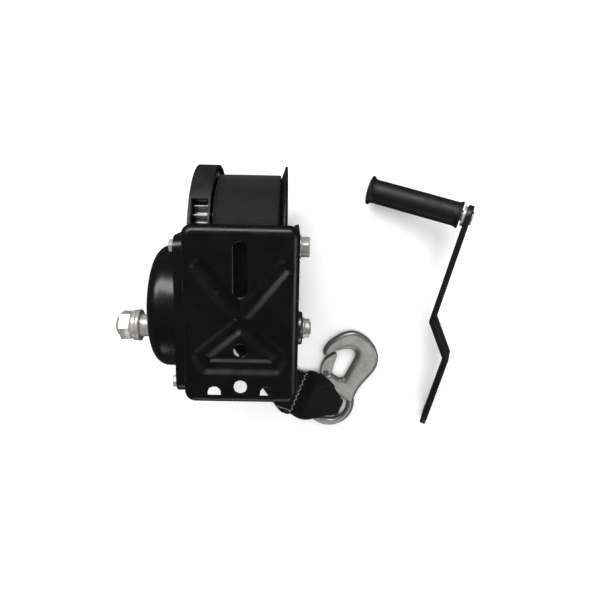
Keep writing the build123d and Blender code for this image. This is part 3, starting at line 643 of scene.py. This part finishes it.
def build_tail():
    """The free end as one ribbon: off the roll, along the floor, folded over, and sewn in a loop."""
    columns = 37
    v = np.linspace(-1, 1, columns)
    low = FLOOR + STRAP / 2 + 0.05
    rows = []
    start_r = ROLL_R + 0.25 + STRAP / 2
    arc = np.radians(np.linspace(-62, -96, 12))
    for a in arc:
        y, z = DRUM_Y + start_r * math.cos(a), DRUM_Z + start_r * math.sin(a)
        rows.append([(STRAP_X + HALF * t, y, z) for t in v])
    y_a, z_a = rows[-1][0][1], rows[-1][0][2]
    flat_from = 34.0
    for t in np.linspace(0, 1, 18)[1:]:
        y = y_a + (flat_from - y_a) * t
        z = low + (z_a - low) * (1 - t) ** 2 * (1 + 0.6 * t)
        rows.append([(STRAP_X + HALF * w, y, z) for w in v])
    crease = np.array((STRAP_X, -75.8))
    ahead = np.array((-0.8192, -0.5736))
    turn_r = 1.25
    out = float((SEW - crease) @ RUN)
    total = (flat_from + 75.8) + out - 1.2
    for s in np.linspace(0, total, 110)[1:]:
        row = []
        for w in v:
            p = np.array((STRAP_X + HALF * w, flat_from - s))
            d = float((p - crease) @ ahead)
            if d <= 0:
                row.append((p[0], p[1], low))
                continue
            foot = p - d * ahead
            if d < math.pi * turn_r:
                q = foot + ahead * turn_r * math.sin(d / turn_r)
                row.append((q[0], q[1], low + turn_r * (1 - math.cos(d / turn_r))))
            else:
                q = foot - ahead * (d - math.pi * turn_r)
                row.append((q[0], q[1], low + 2 * turn_r))
        rows.append(row)
    # the sewn end: over the ring, round inside it and back under
    share = (1 - v) / 2
    reach = 44.3 - 0.9 * v**2
    over_z = low + 2 * turn_r

    def between(x, upper, lower):
        high, foot = (np.polyval(np.polyfit(*zip(*edge), 5), x) for edge in (upper, lower))
        return foot + (high - foot) * share

    # each layer: its upper edge, then its lower edge, as distance along and across the strap
    upper_layer = (
        ((0, HALF), (4, 28.2), (8, 29.2), (14, 29.4), (20, 28.2), (27, 25.0), (33, 21.0), (38, 17.0),
         (41.5, 12.8), (44.3, 8.0)),
        ((0, -HALF), (6, -26.4), (14, -26), (20, -24), (26, -19.4), (32, -15.4), (38, -12.4), (44.3, -9.0)),
    )
    lower_layer = (
        ((0, HALF - 2), (7, 25.5), (14, 24), (22, 21.5), (29, 17.5), (38, 12), (44.3, 7.0)),
        ((0, -29), (7, -30.8), (14, -31), (20, -28.8), (26, -25), (32, -20.6), (38, -15.6), (44.3, -10)),
    )
    for t in np.linspace(0, 1, 30)[1:]:
        x = reach * t
        y = between(x, *upper_layer)
        over = np.maximum(ring_lift(x, y), soft_step(x / 12) * (0.86 - 0.2 * soft_step((x - 24) / 22)))
        fold = 0.5 * np.sin(share * 9.0 + 0.6) * soft_step((x - 18) / 20)
        rows.append(strap_plan(x, y, over_z + (HOOK_Z + 5.9 - over_z) * over + fold))
    z_top = rows[-1][:, 2]
    y_top = between(reach, *upper_layer)
    y_low = between(reach, *lower_layer)
    for a in np.linspace(0, math.pi, 12)[1:]:
        radius = (z_top - low) / 2
        x = reach + radius * 0.75 * math.sin(a)
        y = y_top + (y_low - y_top) * (1 - math.cos(a)) / 2
        rows.append(strap_plan(x, y, low + radius + radius * math.cos(a)))
    for t in np.linspace(1, 0, 24)[1:]:
        x = reach * t
        rows.append(strap_plan(x, between(x, *lower_layer), low))
    middle = np.array([np.asarray(r, float) for r in rows])
    step = np.linalg.norm(np.diff(middle[:, columns // 2], axis=0), axis=1)
    along = np.concatenate([[0], np.cumsum(step)])
    uv = np.stack(np.broadcast_arrays((v * HALF)[None, :], along[:, None]), -1)
    obj = closed_sheet("webbing_tail", middle, STRAP, uv)
    obj.data.materials.append(WEBBING)
    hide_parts("strap_tail", "strap_loop")
    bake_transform(obj)
    return obj


build_tail()


def build_stitches():
    """Heavy thread sewn back and forth across the strap, with short returns at both ends."""
    rng = random.Random(5)
    spots = []
    for k in range(17):
        y = -24.9 + 49.8 * k / 16
        spots.append((-1.5 + (0.5 if k % 2 else -0.5), y, 24 if k % 2 else -24))
    for k in range(5):
        spots.append((-4.0 - 3.1 * k, 24.2 + rng.uniform(-0.3, 0.3), 90))
        spots.append((-4.0 - 3.1 * k, -24.4 + rng.uniform(-0.3, 0.3), 90))
    top = FLOOR + STRAP / 2 + 2.55 + STRAP / 2
    points, faces = [], []
    for x, y, turn in spots:
        angle = math.radians(turn + rng.uniform(-8, 8))
        axis = np.array((math.sin(angle), math.cos(angle)))
        side = np.array((axis[1], -axis[0]))
        start = len(points)
        rings = ((-1.45, 0.05), (-1.15, 0.6), (-0.4, 0.85), (0.4, 0.85), (1.15, 0.6), (1.45, 0.05))
        for t, r in rings:
            for j in range(8):
                a = 2 * math.pi * j / 8
                p = np.array((x, y)) + axis * t + side * r * math.cos(a)
                points.append(strap_plan(p[0], p[1], top + 0.12 + r * 0.8 * math.sin(a)))
        faces += grid_faces(len(rings), 8, wrap_columns=True, start=start)
    obj = piece("sewing", points, faces)
    return finish(obj, "frame", THREAD)


build_stitches()

# ---- snap hook ----
def hook_place(x, y, z):
    """A point of the hook's own plan, in the build frame."""
    c, s = math.cos(HOOK_TURN), math.sin(HOOK_TURN)
    return (HOOK_AT[0] + c * x - s * y, HOOK_AT[1] + s * x + c * y, z)


def cast(name, outline, half, round_off):
    """A thick plate from an outline in the hook's own plan, its rims rounded over."""
    dense = []
    for a, b in zip(outline, outline[1:] + outline[:1]):
        n = max(1, int(math.dist(a, b) / 1.2))
        dense += [tuple(np.array(a) + (np.array(b) - np.array(a)) * k / n) for k in range(n)]
    smooth = np.array(dense)
    for _ in range(5):
        smooth = 0.5 * smooth + 0.25 * (np.roll(smooth, 1, 0) + np.roll(smooth, -1, 0))
    bm = bmesh.new()
    low = [bm.verts.new(Vector(hook_place(x, y, HOOK_Z - half)) * MM) for x, y in smooth]
    face = bm.faces.new(low)
    top = bmesh.ops.extrude_face_region(bm, geom=[face])
    moved = [g for g in top["geom"] if isinstance(g, bmesh.types.BMVert)]
    bmesh.ops.translate(bm, verts=moved, vec=(0, 0, 2 * half * MM))
    bmesh.ops.recalc_face_normals(bm, faces=bm.faces)
    level = [e for e in bm.edges if abs(e.verts[0].co.z - e.verts[1].co.z) < 1e-6]
    rims = [e for e in level if len(e.link_faces) == 2 and e.calc_face_angle(0) > 1.0]
    bmesh.ops.bevel(
        bm, geom=rims, offset=round_off * MM, offset_type="OFFSET", segments=6, profile=0.5,
        affect="EDGES", clamp_overlap=False,
    )
    mesh = bpy.data.meshes.new(name)
    bm.to_mesh(mesh)
    bm.free()
    return added(name, mesh)


def as_cast(obj):
    """Fuses the shells of an object into one soft-edged casting."""
    remesh = obj.modifiers.new("cast", "REMESH")
    remesh.mode = "VOXEL"
    remesh.voxel_size = CAST_VOXEL * MM
    soften = obj.modifiers.new("soften", "SMOOTH")
    soften.factor = 0.5
    soften.iterations = 4
    applied(obj)
    obj.data.shade_smooth()


# outlines in the hook's own plan, counter-clockwise from the ring's right side
HOOK_RIM = [
    (24.6, 4), (23.9, 12), (24.2, 19.4), (26.8, 29.2), (31.9, 41.5), (34.8, 49), (35.4, 56), (33.2, 65),
    (27.3, 73), (17.6, 80.2), (6, 83.8), (-1, 83.6), (-7.5, 80.8), (-14.2, 75.4), (-19.1, 69.3),
    (-22.8, 63.8), (-25, 57.9), (-25.6, 53.3), (-24.6, 49.2), (-21.8, 47.4), (-18.6, 49.6),
    (-14.8, 54.9), (-11.5, 57.4),
]
HOOK_BOWL = [
    (-7, 59.0), (-2.5, 61.9), (2, 63.4), (5.5, 63.6), (8.7, 62), (9.9, 57), (7.9, 44.3), (5.9, 31.2),
]
HOOK_ROOT = [(3.5, 28.4), (0.5, 28.2), (-8, 31), (-12, 29.5), (-18, 28.5), (-20.5, 25), (-18, 17)]
LATCH_RIM = [
    (-11.0, 25.5), (-9.0, 31), (-9.7, 43), (-9.4, 52.5), (-10.4, 55.6), (-12.8, 54.2), (-16.2, 50.4),
    (-19.3, 46.6), (-21.2, 42.3), (-22.2, 36.1), (-20.6, 29.5), (-16.5, 26.0),
]
HOOK_HALF, HOOK_ROUND = 4.9, 4.3
LATCH_HALF, LATCH_ROUND = 3.8, 1.1
RING_RADIUS, RING_WIRE = 22.6, 4.2
RING_SHIFT = (0.4, -1.2)
BOWL_ROUND = 9.5
CAST_VOXEL = 0.75


def build_hook():
    """The cast hook with its ring, and the spring latch that closes its mouth."""
    body = cast("hook_body", HOOK_RIM + HOOK_BOWL + HOOK_ROOT, HOOK_HALF, HOOK_ROUND)
    points = []
    for i in range(72):
        a = 2 * math.pi * i / 72
        for j in range(18):
            b = 2 * math.pi * j / 18
            radius = RING_RADIUS + RING_WIRE * math.cos(b)
            x, y = radius * math.cos(a) + RING_SHIFT[0], radius * math.sin(a) + RING_SHIFT[1]
            points.append(hook_place(x, y, HOOK_Z + RING_WIRE * math.sin(b)))
    ring = piece("hook_ring", points, grid_faces(72, 18, True, True))
    joined = bmesh.new()
    joined.from_mesh(body.data)
    joined.from_mesh(ring.data)
    joined.to_mesh(body.data)
    joined.free()
    bpy.data.objects.remove(ring)
    as_cast(body)
    # the bowl is rounded much further over than the outer rim
    cosine, sine = math.cos(HOOK_TURN), math.sin(HOOK_TURN)
    turn = np.array(((cosine, sine), (-sine, cosine)))
    for vertex in body.data.vertices:
        own = turn @ (np.array(vertex.co[:2]) / MM - HOOK_AT)
        near = min(to_segment(own[None], a, b)[0][0] for a, b in zip(HOOK_BOWL, HOOK_BOWL[1:]))
        if own[1] > 26 and near < BOWL_ROUND:
            share = math.sqrt(max(0.0, 1 - (1 - near / BOWL_ROUND) ** 2))
            vertex.co.z = (HOOK_Z + (vertex.co.z / MM - HOOK_Z) * (0.12 + 0.88 * share)) * MM
    finish(body, "hook", HOOK, ["snap_hook"])
    latch = cast("latch_channel", LATCH_RIM, LATCH_HALF, LATCH_ROUND)
    latch.data.shade_smooth()
    latch.data.set_sharp_from_angle(angle=math.radians(40))
    finish(latch, BODY_OF["snap_latch"], HOOK, ["snap_latch"])
    return body, latch


HOOK_PARTS = build_hook()

# ---- grip ----
GRIP_AXIS = (0.922, -0.2333, 0.309)
SLEEVE_R = 11.5
LIP_RUN = 7.0


def build_grip():
    """A moulded sleeve turning on its pin: a wide lip at one end, a narrow one at the other."""
    co = np.array([v.co for v in NODES["grip_sleeve"].data.vertices]) / MM
    axis = np.array(GRIP_AXIS)
    axis /= np.linalg.norm(axis)
    middle = co.mean(0)
    along = (co - middle) @ axis
    lo, hi = along.min(), along.max()
    base = middle + axis * lo
    length = hi - lo
    side = np.cross(axis, (0, 0, 1))
    side /= np.linalg.norm(side)
    up = np.cross(side, axis)
    # distance from the free end, and radius
    profile = [
        (6.4, 4.0), (3.0, 4.6), (2.2, 9.4), (0.9, 10.2), (0.15, 11.6), (0.0, 13.2), (0.5, 14.0), (1.5, 14.15),
        (2.4, 13.6), (3.4, 12.4), (4.8, 11.75), (LIP_RUN, SLEEVE_R),
    ]
    for t in np.linspace(0, 1, 26)[1:-1]:
        profile.append((LIP_RUN + t * (length - 2 * LIP_RUN), SLEEVE_R + 0.1 * math.sin(math.pi * t)))
    profile += [
        (length - LIP_RUN, SLEEVE_R), (length - 4.2, 11.7), (length - 2.8, 12.3), (length - 1.8, 12.85),
        (length - 0.8, 12.95), (length - 0.1, 12.3), (length, 10.8), (length - 0.3, 6.2),
    ]
    steps = 72
    points = []
    for i in range(steps):
        a = 2 * math.pi * i / steps
        ray = side * math.cos(a) + up * math.sin(a)
        flash = 0.08 if i in (0, steps // 2) else 0.0
        for x, r in profile:
            seam = flash if LIP_RUN < x < length - LIP_RUN else 0
            points.append(base + axis * x + ray * (r + seam))
    obj = piece("grip_moulding", points, grid_faces(steps, len(profile), wrap_rows=True))
    outward(obj)
    obj.data.set_sharp_from_angle(angle=math.radians(50))
    return finish(obj, "grip", GRIP, ["grip_sleeve"])


build_grip()

# ---- every other part: its CAD shape with rolled edges, or the CAD node itself ----
EDGES = {
    "gear_guard": (0.5, GUARD), "guard_screws": (0.35, ZINC), "drum_gear": (0.3, STEEL),
    "pinion": (0.25, STEEL), "drum_flange": (0.35, FLANGE_PAINT), "drum_axle_bolt": (0.5, ZINC),
    "drum_axle_nut": (0.5, ZINC), "drum_axle_washers": (0.3, ZINC), "drive_shaft": (0.4, STEEL),
    "right_bearing_housing": (0.5, STEEL), "shaft_right_washer": (0.3, ZINC), "shaft_right_nut": (0.5, ZINC),
    "shaft_end_washer": (0.5, ZINC), "shaft_end_nut": (0.5, ZINC), "brake_cover": (0.5, DOME_PAINT),
    "back_plate": (0.4, PAINT), "cover_screws": (0.4, ZINC), "latch_rivet": (0.9, HOOK),
    "handle_arm": (0.9, ARM_PAINT), "grip_pin": (0.3, ZINC),
    "grip_washer": (0.3, ZINC), "brake_hub": (0.4, ZINC),
}
for node, (width, material) in EDGES.items():
    finish(edged(node, width), BODY_OF[node], material, [node])

for node, obj in NODES.items():
    if obj.hide_render:
        continue
    material = BY_SLOT.get(SLOT_OF.get(node), STEEL)
    if obj.data.materials:
        for k in range(len(obj.data.materials)):
            obj.data.materials[k] = material
    else:
        obj.data.materials.append(material)


# ---- floor, light and camera ----
def build_floor():
    """A pale floor that is left unseen by reflections. Its own glow is dimmed near the object by an
    ambient-occlusion node, which is painted shade.
    """
    size = 4.0 / MM
    z = FLOOR - 0.2
    corners = [(x * size, y * size, z) for x, y in ((-1, -1), (1, -1), (1, 1), (-1, 1))]
    obj = piece("floor", corners, [(0, 1, 2, 3)], smooth=False)
    material, tree, shader = nodes_of("floor_white")
    tone = ramp(tree, noise(tree, 3, 2, place(tree)), [(0.3, (0.9, 0.9, 0.9)), (0.7, (0.92, 0.92, 0.92))])
    tree.links.new(tone, shader.inputs["Base Color"])
    shader.inputs["Roughness"].default_value = 0.9
    shader.inputs["Emission Color"].default_value = (1, 1, 1, 1)
    # painted shade: the floor's glow fades where the object crowds it, taken from ambient occlusion
    painted_shade_ao = tree.nodes.new("ShaderNodeAmbientOcclusion")
    painted_shade_ao.samples = 8
    painted_shade_ao.inputs["Distance"].default_value = 0.13
    glow_less_painted_shade = remap(tree, painted_shade_ao.outputs["AO"], 0.15, 0.8, 0.0, 0.22)
    tree.links.new(glow_less_painted_shade, shader.inputs["Emission Strength"])
    obj.data.materials.append(material)
    obj.visible_glossy = False


def build_backdrop():
    """A pale wall round the floor, seen by the camera only."""
    points, radius = [], 3900
    for z in (FLOOR - 5, FLOOR + 500, FLOOR + 3600):
        for k in range(64):
            a = 2 * math.pi * k / 64
            points.append((radius * math.cos(a), radius * math.sin(a), z))
    obj = piece("backdrop", points, grid_faces(3, 64, wrap_columns=True))
    material, tree, shader = nodes_of("backdrop_white")
    shader.inputs["Base Color"].default_value = (0.1, 0.1, 0.1, 1)
    tone = ramp(tree, noise(tree, 1, 2, place(tree)), [(0.3, (0.88, 0.88, 0.88)), (0.7, (0.91, 0.91, 0.91))])
    tree.links.new(tone, shader.inputs["Emission Color"])
    shader.inputs["Emission Strength"].default_value = 0.92
    obj.data.materials.append(material)
    obj.visible_glossy = obj.visible_diffuse = obj.visible_shadow = False


def softbox(name, at, size, power, glossy=True):
    """A rectangular lamp turned to the middle of the object."""
    light = bpy.data.lights.new(name, "AREA")
    light.shape = "RECTANGLE"
    light.size, light.size_y = size
    light.energy = power
    obj = added(name, light)
    obj.location = at
    obj.rotation_euler = (Vector(MIDDLE) - Vector(at)).to_track_quat("-Z", "Y").to_euler()
    obj.visible_glossy = glossy
    return obj


build_floor()
build_backdrop()
MIDDLE = (0.04, 0.03, -0.07)
softbox("key", (-0.5, 1.45, 1.12), (2.3, 0.7), 34)
softbox("fill_top", (0.1, 0.5, 2.4), (3.4, 3.4), 76, glossy=False)
softbox("side", (1.6, -0.3, 0.9), (0.8, 1.0), 5)
softbox("back", (0.2, -2.1, 0.42), (1.8, 0.5), 7)
# what the plated hook reflects, unseen by everything else
shine = softbox("hook_shine", (0.33, -0.95, 2.2), (1.9, 1.9), 11)
shone_on = bpy.data.collections.new("hook_shine_on")
for obj in HOOK_PARTS:
    shone_on.objects.link(obj)
shine.light_linking.receiver_collection = shone_on

world = bpy.data.worlds.new("studio")
world.use_nodes = True
background = world.node_tree.nodes["Background"]
background.inputs["Color"].default_value = (1, 1, 1, 1)
background.inputs["Strength"].default_value = 0.05
bpy.context.scene.world = world
bpy.context.scene.view_settings.view_transform = "Standard"

camera_data = bpy.data.cameras.new("camera")
camera_data.sensor_width = 36
camera_data.lens = 31.46
camera = added("camera", camera_data)
camera.location = (0.03955, 0.13208, 0.39426)
camera.rotation_euler = (-0.2246, -0.0116, 0.0228)
bpy.context.scene.camera = camera
